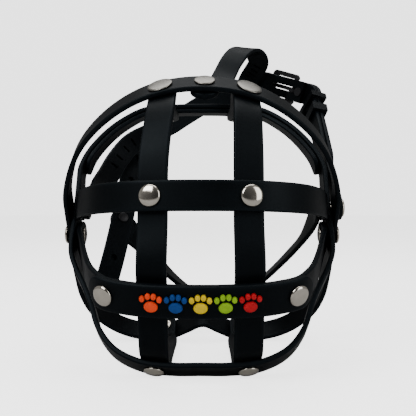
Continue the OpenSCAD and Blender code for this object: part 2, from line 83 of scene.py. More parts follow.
STRAP_W = 13.0
STRAP_T = 2.5
AIR = 0.05              # between two layers that lie on each other
LAYER = STRAP_T + AIR
EDGE_R = 0.8            # rounding of the coated webbing's long edges
HUB_GAP = 6.75          # swivel rivet above, lower side rivet below the ring crossing
FACE_X = 21.0
TOP_RIGHT_X = 21.5      # where the right face strap crosses the top ring
TOP_LEFT_X = 18.5       # the same for the left one
TOP_MID_X = 1.5         # and for the forehead strap
BADGE_W = 15.0
BADGE_X = 41.0
BADGE_IN = 1.5          # the badge rivets' station on the band below lies this much nearer the middle
BADGE_PAST = 5.0        # length of the badge strip past its rivets
SIDE_FACE = 68.5        # outer face of the top ring beside the side rivets
BAND_FACE = 63.0        # outer face of a nose band there
SIDE_AIR = 0.2          # beside a strap that turns on a swivel rivet
INNER_X = BAND_FACE - STRAP_T - SIDE_AIR - AIR - STRAP_T / 2    # middle of a strap inside the nose band
OUTER_X = SIDE_FACE + SIDE_AIR + STRAP_T / 2                    # middle of a strap outside the top ring
INNER_END = INNER_X - STRAP_T / 2 - SIDE_AIR                    # seat of a swivel rivet's inner head
CAP_R = 4.7
WIDE_CAP_R = 5.8
SMALL_CAP_R = 3.6
CAP_H = 1.7
FLAT_CAP_H = 1.0        # the satin caps on the bridge are flatter
POST_R = 1.55
TAIL_H = 0.8            # head on a rivet's inner end
SEAT = 0.1              # a basket rivet's cap above its station
STEP = 1.4              # spacing of the cross sections along a strap


def world(p):
    """Design millimetres to metres in the shared frame."""
    return (np.asarray(p, float) + ORIGIN) / 1000


def unit(v):
    v = np.asarray(v, float)
    return v / np.linalg.norm(v)


# ---------------------------------------------------------------- camera
CAMERA_AT = (3.0, -250.0, 0.0)      # in the design frame
LENS = 53.2
SENSOR = 36


def make_camera():
    data = bpy.data.cameras.new("camera")
    data.lens = LENS
    data.sensor_width = SENSOR
    camera = bpy.data.objects.new("camera", data)
    camera.location = world(CAMERA_AT)
    camera.rotation_euler = (math.pi / 2, 0, 0)
    bpy.context.scene.collection.objects.link(camera)
    bpy.context.scene.camera = camera


make_camera()


# ---------------------------------------------------------------- materials
class Nodes:
    """Short names for building a node material."""

    def __init__(self, name):
        self.material = bpy.data.materials.new(name)
        self.material.use_nodes = True
        self.tree = self.material.node_tree
        self.shader = self.tree.nodes["Principled BSDF"]
        self.coords = self.new("ShaderNodeTexCoord").outputs["Object"]

    def new(self, kind, **settings):
        node = self.tree.nodes.new(kind)
        for key, value in settings.items():
            setattr(node, key, value)
        return node

    def link(self, a, b):
        self.tree.links.new(a, b)

    def noise(self, scale, detail=3.0, roughness=0.5):
        node = self.new("ShaderNodeTexNoise")
        node.inputs["Scale"].default_value = scale
        node.inputs["Detail"].default_value = detail
        node.inputs["Roughness"].default_value = roughness
        self.link(self.coords, node.inputs["Vector"])
        return node.outputs["Fac"]

    def ramp(self, value, stops):
        """Colour ramp of (position, colour or grey) stops."""
        node = self.new("ShaderNodeValToRGB")
        while len(node.color_ramp.elements) < len(stops):
            node.color_ramp.elements.new(0.5)
        for element, (position, colour) in zip(node.color_ramp.elements, stops):
            element.position = position
            element.color = (*colour, 1) if isinstance(colour, tuple) else (colour, colour, colour, 1)
        self.link(value, node.inputs["Fac"])
        return node.outputs["Color"]

    def mix(self, factor, a, b):
        """Colour a where the factor is 0 and b where it is 1; each is a value, a colour or an output."""
        node = self.new("ShaderNodeMix", data_type="RGBA")
        for socket, value in ((node.inputs[0], factor), (node.inputs[6], a), (node.inputs[7], b)):
            if isinstance(value, (int, float)):
                socket.default_value = value
            elif isinstance(value, tuple):
                socket.default_value = (*value, 1)
            else:
                self.link(value, socket)
        return node.outputs[2]

    def bump(self, height, strength, distance, before=None):
        """Normal bumped by a height, on top of an earlier bump if there is one."""
        node = self.new("ShaderNodeBump")
        node.inputs["Strength"].default_value = strength
        node.inputs["Distance"].default_value = distance
        self.link(height, node.inputs["Height"])
        if before is not None:
            self.link(before, node.inputs["Normal"])
        return node.outputs["Normal"]

    def attribute(self, name):
        return self.new("ShaderNodeAttribute", attribute_name=name).outputs["Fac"]

    def set(self, **values):
        """Values straight on the shader's own sockets."""
        for key, value in values.items():
            self.shader.inputs[key.replace("_", " ")].default_value = value

    def use(self, socket, output):
        self.link(output, self.shader.inputs[socket])


BLACK = (0.0, 0.0, 0.0)


def grey(level):
    return (level, level, level)


def times(colour, factor):
    return tuple(c * factor for c in colour)


def strap_material(name, tint, rough):
    """Matt coated webbing: fine pebbled grain, faint scuffs, and edges a little lighter, partly rubbed and
    partly a painted sheen.
    """
    m = Nodes(name)
    cloud = m.noise(45, 4, 0.6)
    grain = m.noise(2600, 2, 0.55)
    scuff = m.ramp(m.noise(260, 6, 0.7), [(0.60, 0.0), (0.74, 1.0)])
    speck = m.ramp(m.noise(1300, 1, 0.5), [(0.70, 0.0), (0.76, 1.0)])
    colour = m.ramp(cloud, [(0.3, times(tint, 0.7)), (0.7, times(tint, 1.35))])
    colour = m.mix(m.mix(scuff, BLACK, grey(0.30)), colour, times(tint, 3.2))
    colour = m.mix(m.mix(speck, BLACK, grey(0.35)), colour, (0.006, 0.007, 0.008))
    # edges and round strap ends lighter: partly rubbed, partly painted sheen
    colour = m.mix(m.mix(m.attribute("edge"), BLACK, grey(0.55)), colour, times(tint, 3.0))
    m.use("Base Color", colour)
    m.use("Roughness", m.ramp(cloud, [(0.25, rough - 0.07), (0.75, rough + 0.07)]))
    m.use("Normal", m.bump(scuff, 0.15, 0.00005, m.bump(grain, 0.32, 0.00006)))
    m.set(Specular_IOR_Level=0.09, Specular_Tint=(0.75, 0.9, 1.0, 1))
    return m.material


def metal_material(name, colour, rough, spread, marks):
    """Nickel with smudges, and with fine polishing marks at the given scale."""
    m = Nodes(name)
    smudge = m.noise(420, 4, 0.6)
    m.use("Base Color", m.ramp(smudge, [(0.3, times(colour, 0.86)), (0.7, colour)]))
    m.use("Roughness", m.ramp(smudge, [(0.3, rough), (0.75, rough + spread)]))
    m.use("Normal", m.bump(m.noise(marks, 3, 0.7), 0.10, 0.00003))
    m.set(Metallic=1.0)
    return m.material


def painted_material(name, colour, rough):
    """Satin black plated metal with lighter worn corners."""
    m = Nodes(name)
    cloud = m.noise(300, 4, 0.6)
    worn = m.mix(m.attribute("edge"), BLACK, grey(0.5))
    clouded = m.ramp(cloud, [(0.3, times(colour, 0.7)), (0.7, colour)])
    m.use("Base Color", m.mix(worn, clouded, (0.09, 0.09, 0.095)))
    m.use("Roughness", m.ramp(cloud, [(0.3, rough - 0.06), (0.7, rough + 0.08)]))
    m.use("Normal", m.bump(m.noise(1900, 2), 0.2, 0.00004))
    m.set(Metallic=0.55)
    return m.material


def rubber_material(name, colour):
    """Soft printed rubber of one colour, a little mottled and matt."""
    m = Nodes(name)
    cloud = m.noise(500, 3, 0.5)
    m.use("Base Color", m.ramp(cloud, [(0.3, times(colour, 0.82)), (0.7, colour)]))
    m.use("Roughness", m.ramp(cloud, [(0.3, 0.42), (0.7, 0.56)]))
    m.use("Normal", m.bump(m.noise(2400, 2), 0.18, 0.00005))
    m.set(Specular_IOR_Level=0.12)
    return m.material


STRAP = strap_material("coated_webbing", (0.0007, 0.0011, 0.0015), 0.48)
POLISHED = metal_material("polished_nickel", (0.62, 0.575, 0.50), 0.07, 0.08, 900)
SATIN = metal_material("satin_nickel", (0.235, 0.225, 0.203), 0.26, 0.12, 1800)
BLACK_METAL = painted_material("satin_black_metal", (0.016, 0.016, 0.018), 0.34)
PAWS = {
    "paw_orange": rubber_material("orange_rubber", (0.68, 0.045, 0.003)),
    "paw_blue": rubber_material("blue_rubber", (0.003, 0.038, 0.17)),
    "paw_yellow": rubber_material("yellow_rubber", (0.60, 0.42, 0.002)),
    "paw_green": rubber_material("green_rubber", (0.20, 0.37, 0.005)),
    "paw_red": rubber_material("red_rubber", (0.38, 0.003, 0.008)),
}


# ---------------------------------------------------------------- curves, as in the CAD
def apart(a, b):
    """Distance between two rows' positions, never nought."""
    return max(float(np.linalg.norm(a[:3] - b[:3])), 1e-6)


def slope(a, b, c):
    """Slope at b between a and c, led by the shorter side so that short straight runs stay straight."""
    before, after = apart(a, b), apart(b, c)
    if a is b:
        return (c - b) / after
    if b is c:
        return (b - a) / before
    return (after * (b - a) / before + before * (c - b) / after) / (before + after)


def piece_of(a, b, c, d, pace, most):
    """Points of the curve a-b-c-d from b up to c, a step of `pace` apart and at most `most` of them."""
    length = apart(b, c)
    m, k = length * slope(a, b, c), length * slope(b, c, d)
    n = max(1, min(most, math.ceil(length / pace)))
    s = np.arange(n)[:, None] / n
    return ((2 * s ** 3 - 3 * s ** 2 + 1) * b + (s ** 3 - 2 * s ** 2 + s) * m
            + (3 * s ** 2 - 2 * s ** 3) * c + (s ** 3 - s ** 2) * k)


FINE = (0.6, 24)        # step length and most steps between two route points, for drawing
COARSE = (1.8, 8)       # the same as the CAD's, for finding stations


def curve(points, pace=FINE):
    p = [np.array(q, float) for q in points]
    last = len(p) - 1
    parts = [piece_of(p[max(i - 1, 0)], p[i], p[i + 1], p[min(i + 2, last)], *pace) for i in range(last)]
    return np.concatenate([*parts, [p[last]]])


def loop(points, pace=FINE):
    p = [np.array(q, float) for q in points]
    c = len(p)
    return np.concatenate([piece_of(p[i - 1], p[i], p[(i + 1) % c], p[(i + 2) % c], *pace) for i in range(c)])


def ahead(p, closed):
    """Central differences along a curve."""
    if closed:
        return np.roll(p, -1, axis=0) - np.roll(p, 1, axis=0)
    return np.concatenate([p[1:2] - p[:1], p[2:] - p[:-2], p[-1:] - p[-2:-1]])


def rows_unit(v):
    """Each row at length 1."""
    return v / np.linalg.norm(v, axis=1, keepdims=True)


END_STEPS = np.linspace(0.12, 1, 9)[:-1]      # places of the cross sections in a round end


def evenly(p, closed, ends=0.0):
    """Resamples rows (position first) at even steps; near open ends the steps shrink to draw a round end.
    Gives the rows, the place of each along the strap, and the whole length."""
    q = np.concatenate([p, p[:1]]) if closed else p
    length = np.concatenate([[0], np.cumsum(np.linalg.norm(np.diff(q[:, :3], axis=0), axis=1))])
    total = length[-1]
    if closed:
        at = np.linspace(0, total, max(8, int(round(total / STEP))), endpoint=False)
    else:
        at = np.linspace(ends, total - ends, max(2, int(round((total - 2 * ends) / STEP)) + 1))
        if ends:
            arc = ends * (1 - np.cos(END_STEPS * math.pi / 2))
            at = np.concatenate([arc, at, total - arc[::-1]])
    rows = np.stack([np.interp(at, length, q[:, i]) for i in range(q.shape[1])], axis=1)
    return rows, at, total


# ---------------------------------------------------------------- outlines and routes, as in the CAD
# Half outlines: [x, distance from the side crossing along the plane]
TOP_HALF = [[0, -69], [8, -73.2], [16, -77.6], [28, -79.4], [39, -77.8], [47, -74.4], [55.6, -67.8],
            [63, -58], [66.8, -47], [68.3, -32], [68.5, -18], [68.5, -9], [68.5, 0], [68.5, 9], [68.3, 17],
            [65.8, 28], [59.3, 43], [45.3, 59.2], [24.3, 71.9], [0, 76]]
CHIN_HALF = [[0, -78.7], [12, -78.7], [28, -76.6], [40, -70.4], [48.2, -60], [52.8, -48], [57.2, -38.5],
             [62, -29.5], [65, -21.5], [65.7, -16], [65.7, -9], [65.7, 0], [65.7, 11], [66, 22],
             [66.1, 32], [64.4, 40], [57.8, 53.5], [46.5, 67], [33, 76.2], [16, 78.4], [0, 78.8]]
UPPER_HALF = [[63, -7], [63, 0], [63, 7], [60.5, 18], [55.5, 33], [46, 49.5], [31, 60.6], [14, 65.2],
              [0, 66]]
LOWER_HALF = [[63, -7], [63, 0], [63, 6], [60.6, 14], [57.6, 25], [54.9, 34.5], [47.8, 52.5],
              [42, 60.2], [32, 65], [14, 68], [0, 68.6]]


TWIST_FROM = 8          # where a twisted ring starts to turn, up from the side crossing
TWIST_OVER = 30         # and the length that it turns over


class Plane:
    """A plane through the side rivets, turned about X; outlines lie in it as (x, v).
    With a twist, the strap's face turns away from the plane as v grows."""

    def __init__(self, z, degrees, twist=0.0):
        self.origin = np.array([0, HUB_Y, z])
        self.degrees = degrees
        self.twist = twist

    def vector(self, p, degrees=None):
        a = math.radians(self.degrees if degrees is None else degrees)
        return np.array([p[0], p[1] * math.cos(a), p[1] * math.sin(a)])

    def point(self, p):
        return self.origin + self.vector(p)

    def facing(self, run, v):
        """(outward normal, direction along the strap) where the outline runs along `run`."""
        share = min(max((v - TWIST_FROM) / TWIST_OVER, 0), 1)
        roll = self.degrees + self.twist * share * share * (3 - 2 * share)
        along = self.vector(unit(run))
        face = self.vector(unit((run[1], -run[0])), roll)
        return unit(face - np.dot(face, along) * along), along


NOSE_RISE = 4.6
NOSE_DROP = 21.0
TOP_LEAN = 33.4
CHIN_LEAN = 32.5
LINER_END = 31.0        # place of the bridge liner's ends along the chin ring's outline
LINER_ROOM = 0.2        # its twisted face keeps this much more off the ring
TOP = Plane(-HUB_GAP, 90 + TOP_LEAN)
CHIN = Plane(-HUB_GAP, 90 - CHIN_LEAN, twist=CHIN_LEAN)
UPPER = Plane(0, 180 - NOSE_RISE)
LOWER = Plane(-2 * HUB_GAP, 180 + NOSE_DROP)


def outline(half, ring, pace):
    """The whole ring or band of a half outline."""
    mirrored = [[-x, v] for x, v in reversed(half[1:-1] if ring else half[:-1])]
    return (loop if ring else curve)(half + mirrored, pace)


SHAPES = {              # plane, half outline, and whether it is a closed ring
    "top": (TOP, TOP_HALF, True),
    "chin": (CHIN, CHIN_HALF, True),
    "upper": (UPPER, UPPER_HALF, False),
    "lower": (LOWER, LOWER_HALF, False),
}


def station(name, x, half=1, room=0.0):
    """(outer face point, outward normal, way across the strap, room under it) where an outline passes x,
    in its upper half or, for half = -1, in its lower one."""
    plane, shape, ring = SHAPES[name]
    p = outline(shape, ring, COARSE)
    miss = np.where(p[:, 1] * half > 0, np.abs(p[:, 0] - x), 1e3)
    i = int(np.argmin(miss))
    chord = unit(p[(i + 3) % len(p)] - p[i - 3])
    at = p[i] + chord * (x - p[i, 0]) / chord[0]
    normal, along = plane.facing(chord, at[1])
    return plane.point(at), normal, unit(np.cross(along, normal)), room


TOP_RIGHT = station("top", TOP_RIGHT_X, 1, 0.6)
TOP_LEFT = station("top", TOP_LEFT_X, 1, 0.4)       # mirrored where it is used
TOP_MID = station("top", TOP_MID_X, 1, 0.5)
TOP_FLOOR = station("top", FACE_X, -1, 0.8)
CHIN_FRONT = station("chin", FACE_X, -1, 0.5)
CHIN_REAR = station("chin", FACE_X, 1, 0.5)
UPPER_FRONT = station("upper", FACE_X, 1, 0.4)
LOWER_FRONT = station("lower", FACE_X, 1, 0.4)
LOWER_BADGE = station("lower", BADGE_X - BADGE_IN)


def under(place, layers, shift):
    """Route row for the middle of a strap that lies under other layers at a station, `shift` across it."""
    p, n, across, room = place
    return [*(p - n * (layers * LAYER + room + STRAP_T / 2) + shift * across), *n]


def crossed(place, layers, way, first=9, last=9):
    """Rows of a strap that crosses under a station, flat for the width of the strap above it."""
    half = STRAP_W / 2
    return [under(place, layers, way * d) for d in (-first, -half, 0, half, last)]


def face_route(top):
    """The right face strap, from the rear bridge over the given top ring station and round to the floor."""
    return (
        crossed(CHIN_REAR, 2, -1)
        + [[21.3, 84, 54.3, 0.05, 0.1, 1], [20.8, 62, 56.2, 0.1, 0, 1], [20.4, 46, 55.2, 0.2, -0.3, 1]]
        + crossed(top, 1, -1) + crossed(UPPER_FRONT, 1, -1) + crossed(LOWER_FRONT, 1, -1)
        + crossed(CHIN_FRONT, 1, 1, 9, 7)
        + [[20.5, 40, -72.4, 0, 0, -1], [20.5, 62, -72.4, 0, 0, -1], [20.5, 88, -72.4, 0, 0, -1]]
        + crossed(TOP_FLOOR, 1, 1, 7, 8)
    )


# The buckle's own axes: along the strap, and out of its outer face
BUCKLE_AT = np.array([51.8, 147, 78])
BUCKLE_PITCH = math.radians(20.5)
BUCKLE_YAW = math.radians(-46.7)
BUCKLE_T = np.array([math.cos(BUCKLE_PITCH) * math.cos(BUCKLE_YAW),
                     math.cos(BUCKLE_PITCH) * math.sin(BUCKLE_YAW), -math.sin(BUCKLE_PITCH)])
BUCKLE_N = np.array([-math.sin(BUCKLE_YAW), math.cos(BUCKLE_YAW), 0])


def on_buckle(t, n):
    """Route row at t along the buckle and n out of its middle."""
    return [*(BUCKLE_AT + t * BUCKLE_T + n * BUCKLE_N), *BUCKLE_N]


def normal_of(row):
    return unit(row[3:6])


def over(row, d):
    """The row moved d outwards along its normal."""
    return [*(np.array(row[:3]) + d * normal_of(row)), *normal_of(row)]


def squared(route, i):
    """Row i of a route with its normal square to the route, which is what the strap there has."""
    a, b, c = (np.array(row, float) for row in route[i - 1:i + 2])
    return [*b[:3], *in_face(normal_of(b), unit(slope(a, b, c)[:3]))]


def in_face(way, n):
    """Direction `way` laid square to n."""
    return unit(np.array(way, float) - np.dot(way, n) * n)


def face_of(row):
    """(place, way out) of a rivet cap on the outer face of the strap at a row."""
    return np.array(row[:3]) + (STRAP_T / 2 + AIR) * normal_of(row), normal_of(row)


NECK_RIGHT_ROUTE = [
    on_buckle(12.6, 0), on_buckle(18, 0), on_buckle(22, -0.1), [66, 129, 65.5, 0.93, 0.27, -0.25],
    [66, 125.5, 61.8, 0.96, 0.2, -0.19], [66, 119, 55, 0.97, 0.17, -0.16],
    [66.2, 112.5, 48.2, 0.97, 0.17, -0.16], [67, 105, 39.5, 1, 0.12, -0.08], [67.8, 96, 29, 1, 0.05, -0.03],
    [68.5, 84, 16.5, 1, 0, 0], [69.3, 76, 9, 1, 0, 0], [OUTER_X, 71, 4.3, 1, 0, 0],
    [OUTER_X, HUB_Y, 0, 1, 0, 0], [OUTER_X, 61.4, -4, 1, 0, 0]]
TAIL_LIFT = LAYER + 0.25          # the buckled end over the right strap
NECK_LEFT_ROUTE = [
    [-INNER_X, 61.2, -3, -1, 0, 0], [-INNER_X, HUB_Y, 0, -1, 0, 0], [-INNER_X, 70.5, 2.6, -1, 0, 0],
    [-58.3, 77, 6, -1, 0.1, 0], [-56.9, 87, 10.5, -0.85, 0.5, -0.15], [-55, 100, 16.5, -0.65, 0.75, -0.3],
    [-50, 115, 29.5, -0.6, 0.75, -0.4], [-43, 129, 40.5, -0.55, 0.8, -0.2],
    [-37, 136.5, 45, -0.5, 0.83, -0.05], [-31, 142.5, 48.7, -0.42, 0.88, 0],
    [-22, 149, 53.7, -0.35, 0.93, 0], [-11, 154.5, 61.5, -0.22, 0.97, 0],
    [1, 158.8, 69.3, -0.1, 0.99, 0], [12, 161.5, 74.3, 0, 1, 0], [20.5, 162.6, 76.8, 0.1, 1, 0],
    [28, 162.2, 78.6, 0.15, 0.99, 0], [36, 159.2, 80.9, 0.45, 0.9, 0],
    on_buckle(-14, -3.1), on_buckle(-10, -3.1), on_buckle(-6.5, -2.9), on_buckle(0, 1.2),
    on_buckle(7, 5.8), on_buckle(13, 6.1), on_buckle(19.3, 6),
    over(squared(NECK_RIGHT_ROUTE, 3), TAIL_LIFT + 0.65),
    *(over(squared(NECK_RIGHT_ROUTE, i), TAIL_LIFT) for i in range(4, 9)),
    over([68.15, 90, 22.6, 1, 0.02, -0.01], TAIL_LIFT)]
NAPE_ROW = squared(NECK_LEFT_ROUTE, 15)      # where the forehead strap's end is riveted on
SIZE_ROW = squared(NECK_LEFT_ROUTE, 8)       # where the size strap is riveted on
NAPE_AT = face_of(NAPE_ROW)

FOREHEAD_END = over(NAPE_ROW, -LAYER - 1.7)
FOREHEAD_WAY = in_face((0.42, 0, 1), normal_of(NAPE_ROW))
FOREHEAD_ROUTE = (
    [under(TOP_MID, 1, d) for d in (-8, -5, 0, 6.5, 9)]
    + [[2, 47, 61.2, 0, -0.2, 1], [4, 62, 63.8, 0, -0.1, 1], [6.5, 80, 65.5, 0.05, -0.1, 1],
       [9, 96, 69, 0.15, -0.4, 0.9], [12.5, 107, 77, 0.25, -0.7, 0.7], [17.6, 116, 88, 0.25, -0.6, 0.75],
       [22.7, 123.5, 95, 0.25, -0.3, 0.9], [28.3, 131, 98, 0.3, 0.1, 1], [33, 138, 97, 0.3, 0.5, 0.8],
       [35.4, 144.5, 93.2, 0.2, 0.8, 0.5], [32.8, 152, 89, 0.15, 0.9, 0.35]]
    + [[*(np.array(FOREHEAD_END[:3]) + d * FOREHEAD_WAY), *normal_of(NAPE_ROW)] for d in (6, 3.5, 0, -6)]
)

SIZE_TOP = over(SIZE_ROW, LAYER + 0.3)
SIZE_WAY = in_face((0.2, 0.12, 0.97), normal_of(SIZE_TOP))
SIZE_ROUTE = [
    [-55.5, 91.5, -51, -0.4, 0.85, -0.37], [-54, 95.5, -42, -0.4, 0.85, -0.37],
    [-51, 100.5, -28.5, -0.4, 0.85, -0.37], [-47, 110, -6, -0.4, 0.85, -0.37],
    [-44.3, 124, 17, -0.45, 0.85, -0.35], [-41.8, 134, 31, -0.5, 0.83, -0.2],
    *([*(np.array(SIZE_TOP[:3]) + d * SIZE_WAY), *normal_of(SIZE_TOP)] for d in (-8, -5, 0, 6.5))]
SIZE_AT = face_of(SIZE_TOP)
STUD_N = unit([-0.4, 0.85, -0.37])
STUD_WAY = np.array([-0.638, 0.038, 0.769])  # way the throat strap crosses the size strap
STUD_MID = np.array([-47, 110, -6]) + (LAYER + 0.6) * STUD_N
STUD_AT = (STUD_MID + (STRAP_T / 2 + AIR) * STUD_N, STUD_N)
THROAT_ROUTE = [
    [INNER_X, 61, 3.4, 1, 0, 0], [INNER_X, HUB_Y, 0, 1, 0, 0], [INNER_X, 71, -2.8, 1, 0, 0],
    [58, 77.5, -7.4, 1, 0, -0.05],
    [53.5, 91, -19, 0.85, 0, -0.5], [47, 106, -29.5, 0.78, 0, -0.6], [38, 120, -41, 0.7, 0, -0.7],
    [26, 130, -52.5, 0.5, 0, -0.85], [11, 134.5, -58.5, 0, 0.1, -1], [-2, 135, -55.5, -0.4, 0.1, -0.9],
    [-14, 133.5, -47, -0.6, 0.1, -0.8], [-26, 128.5, -35, -0.65, 0.3, -0.7],
    [-36, 119.5, -23, -0.55, 0.6, -0.6],
    *([*(STUD_MID + d * STUD_WAY), *STUD_N] for d in (-9, -6.5, 0, 6.5))]


# ---------------------------------------------------------------- strap meshes
def profile(width):
    """Rounded rectangle around a strap, with two support points beside each corner so its faces stay flat.
    Rows are (across, out, how close to an edge)."""
    a, b, r = width / 2, STRAP_T / 2, EDGE_R
    points = []
    for sx, sy, turn in ((1, 1, 0), (-1, 1, 90), (-1, -1, 180), (1, -1, 270)):
        angles = [math.radians(turn + d) for d in (0, 22.5, 45, 67.5, 90)]
        arc = [(sx * (a - r) + r * math.cos(d), sy * (b - r) + r * math.sin(d)) for d in angles]
        points += [(*q, 1.0) for q in arc]
        inside = [(sx * (a - r - d), sy * b) for d in (0.5, 1.4)]
        shade = [(*q, s) for q, s in zip(inside, (0.35, 0.0))]
        if turn in (0, 180):
            points += shade
        else:               # the face comes before these corners' arcs
            points[-5:] = shade[::-1] + points[-5:]
    return np.array(points)


def smooth(mesh):
    mesh.polygons.foreach_set("use_smooth", [True] * len(mesh.polygons))


def new_piece(name, verts, faces, material, edge=None):
    """A mesh object in metres, already in its place, with the `edge` attribute: how much lighter an edge is
    painted, partly rubbed and partly painted sheen.
    """
    mesh = bpy.data.meshes.new(name)
    mesh.from_pydata([tuple(v) for v in verts], [], faces)
    mesh.validate()
    attribute = mesh.attributes.new("edge", "FLOAT", "POINT")
    if edge is not None:
        attribute.data.foreach_set("value", np.asarray(edge, dtype=np.float32))
    smooth(mesh)
    mesh.materials.append(material)
    piece = bpy.data.objects.new(name, mesh)
    bpy.context.scene.collection.objects.link(piece)
    return piece


def sweep(name, rows, closed=False, width=STRAP_W):
    """A strap along rows of (position, outer normal). Its open ends are cut round."""
    radius = width / 2
    rows, at, total = evenly(np.asarray(rows, float), closed, ends=0.0 if closed else radius)
    pos = rows[:, :3]
    tan = rows_unit(ahead(pos, closed))
    nor = rows_unit(rows[:, 3:6] - (rows[:, 3:6] * tan).sum(1, keepdims=True) * tan)
    wid = np.cross(tan, nor)
    ring = profile(width)
    count, around = len(pos), len(ring)
    verts, edge = [], []
    for i in range(count):
        narrow = 1.0            # half width as a share of the radius
        near = min(at[i], total - at[i])
        if not closed and near < radius:
            narrow = math.sqrt(max(1 - (1 - near / radius) ** 2, 0.004))
        for a, b, wear_and_sheen in ring:
            side = math.copysign(max(0.0, abs(a) - radius * (1 - narrow)), a) if narrow < 1 else a
            verts.append(world(pos[i] + wid[i] * side + nor[i] * b))
            # edges and round ends marked for the lighter edge colour: partly rubbed, partly painted sheen
            edge.append(max(wear_and_sheen, 0.8 if narrow < 0.6 else 0.0))
    faces = []
    for i in range(count if closed else count - 1):
        j = (i + 1) % count
        for k in range(around):
            m = (k + 1) % around
            faces.append((i * around + k, i * around + m, j * around + m, j * around + k))
    if not closed:
        faces.append(tuple(reversed(range(around))))
        faces.append(tuple((count - 1) * around + k for k in range(around)))
    return new_piece(name, verts, faces, STRAP, edge)


def shape_rows(name, inset, keep=lambda p: True):
    """Rows of the middle line of a strap whose outer face lies inset from a named outline."""
    plane, half, ring = SHAPES[name]
    p = outline(half, ring, FINE)
    rows = []
    for q, run in zip(p, ahead(p, ring)):
        if keep(q):
            normal, _ = plane.facing(run, q[1])
            rows.append([*(plane.point(q) - normal * (inset + STRAP_T / 2)), *normal])
    return rows


def cutter(matrix, size, round_hole=False):
    """A slot with round ends or a round hole, as a closed mesh for a boolean."""
    half_l, half_w, depth = size[0] / 2, size[1] / 2, size[2]
    r = min(half_l, half_w)
    mesh = bpy.data.meshes.new("cut")
    work = bmesh.new()
    if round_hole:
        bmesh.ops.create_cone(work, cap_ends=True, segments=28, radius1=r, radius2=r, depth=depth)
    else:
        base = []
        for quarter, (sx, sy) in enumerate(((1, 1), (-1, 1), (-1, -1), (1, -1))):
            for d in range(0, 91, 15):
                a = math.radians(quarter * 90 + d)
                x, y = sx * (half_l - r) + r * math.cos(a), sy * (half_w - r) + r * math.sin(a)
                base.append(work.verts.new((x, y, -depth / 2)))
        bmesh.ops.remove_doubles(work, verts=base, dist=1e-6)
        base = sorted(work.verts, key=lambda v: math.atan2(v.co.y, v.co.x))
        face = work.faces.new(base)
        grown = bmesh.ops.extrude_face_region(work, geom=[face])["geom"]
        for v in (g for g in grown if isinstance(g, bmesh.types.BMVert)):
            v.co.z += depth
    bmesh.ops.recalc_face_normals(work, faces=work.faces)
    work.transform(matrix)
    work.to_mesh(mesh)
    work.free()
    return mesh


def cut(piece, meshes):
    """Cuts closed meshes out of a piece for good."""
    work = bmesh.new()
    for mesh in meshes:
        work.from_mesh(mesh)
    joined = bpy.data.meshes.new("cuts")
    work.to_mesh(joined)
    work.free()
    tool = bpy.data.objects.new("cuts", joined)
    bpy.context.scene.collection.objects.link(tool)
    modifier = piece.modifiers.new("holes", "BOOLEAN")
    modifier.operation = "DIFFERENCE"
    modifier.solver = "EXACT"
    modifier.object = tool
    with bpy.context.temp_override(object=piece, active_object=piece, selected_objects=[piece]):
        bpy.ops.object.modifier_apply(modifier="holes")
    bpy.data.objects.remove(tool)
    for mesh in (*meshes, joined):
        bpy.data.meshes.remove(mesh)
    sharpen(piece)


def sharpen(piece):
    """Keeps corners hard where a boolean made them."""
    hard = math.radians(38)
    work = bmesh.new()
    work.from_mesh(piece.data)
    for e in work.edges:
        if len(e.link_faces) == 2 and e.calc_face_angle(0) > hard:
            e.smooth = False
    for f in work.faces:
        f.smooth = True
    work.to_mesh(piece.data)
    work.free()


def axes(at, out, along=None):
    """Matrix from millimetres about a design point to metres, with Z along `out` and X near `along`."""
    z = unit(out)
    guess = np.array(along if along is not None else (0, 0, 1.0), float)
    if abs(float(np.dot(unit(guess), z))) > 0.95:
        guess = np.array([1.0, 0, 0])
    x = unit(guess - np.dot(guess, z) * z)
    y = np.cross(z, x)
    m = Matrix.Identity(4)
    for c, column in enumerate((x, y, z)):
        for r in range(3):
            m[r][c] = column[r]
    m.translation = Vector(world(at))
    return m @ Matrix.Scale(0.001, 4)


def route_cuts(route, places, size, round_hole=False):
    """Cutters about a strap's inner face, at the points of its route nearest to each place."""
    rows = curve(route)
    meshes = []
    for place in places:
        i = int(np.argmin(np.linalg.norm(rows[:-1, :3] - np.array(place), axis=1)))
        at = rows[i, :3] - STRAP_T / 2 * unit(rows[i, 3:6])
        meshes.append(cutter(axes(at, rows[i, 3:6], rows[i + 1, :3] - rows[i, :3]), size, round_hole))
    return meshes


# ---------------------------------------------------------------- basket straps
def finish_piece(piece, body, node):
    """Puts a piece on its body and in place of its CAD node."""
    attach(piece, body)
    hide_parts(node)


def mirror_rows(rows):
    """Position and normal of each row mirrored in X."""
    return rows * np.array([-1, 1, 1, -1, 1, 1])


def basket_straps():
    straps = (
        ("top_ring_strap", "top", "top_ring"), ("chin_ring_strap", "chin", "chin_ring"),
        ("upper_band_strap", "upper", "upper_nose_band"), ("lower_band_strap", "lower", "lower_nose_band"),
    )
    for name, shape, node in straps:
        closed = SHAPES[shape][2]
        finish_piece(sweep(name, shape_rows(shape, 0), closed=closed), "basket", node)
    liner = shape_rows("chin", LAYER + LINER_ROOM, lambda p: p[1] > LINER_END)
    finish_piece(sweep("bridge_liner_strap", liner), "basket", "bridge_liner")
    badge = shape_rows("lower", -LAYER, lambda p: abs(p[0]) < BADGE_X + BADGE_PAST and p[1] > 0)
    finish_piece(sweep("badge_strap", badge, width=BADGE_W), "basket", "badge_strip")
    right, left = curve(face_route(TOP_RIGHT)), mirror_rows(curve(face_route(TOP_LEFT)))
    finish_piece(sweep("face_strap_right_webbing", right), "basket", "face_strap_right")
    finish_piece(sweep("face_strap_left_webbing", left), "basket", "face_strap_left")


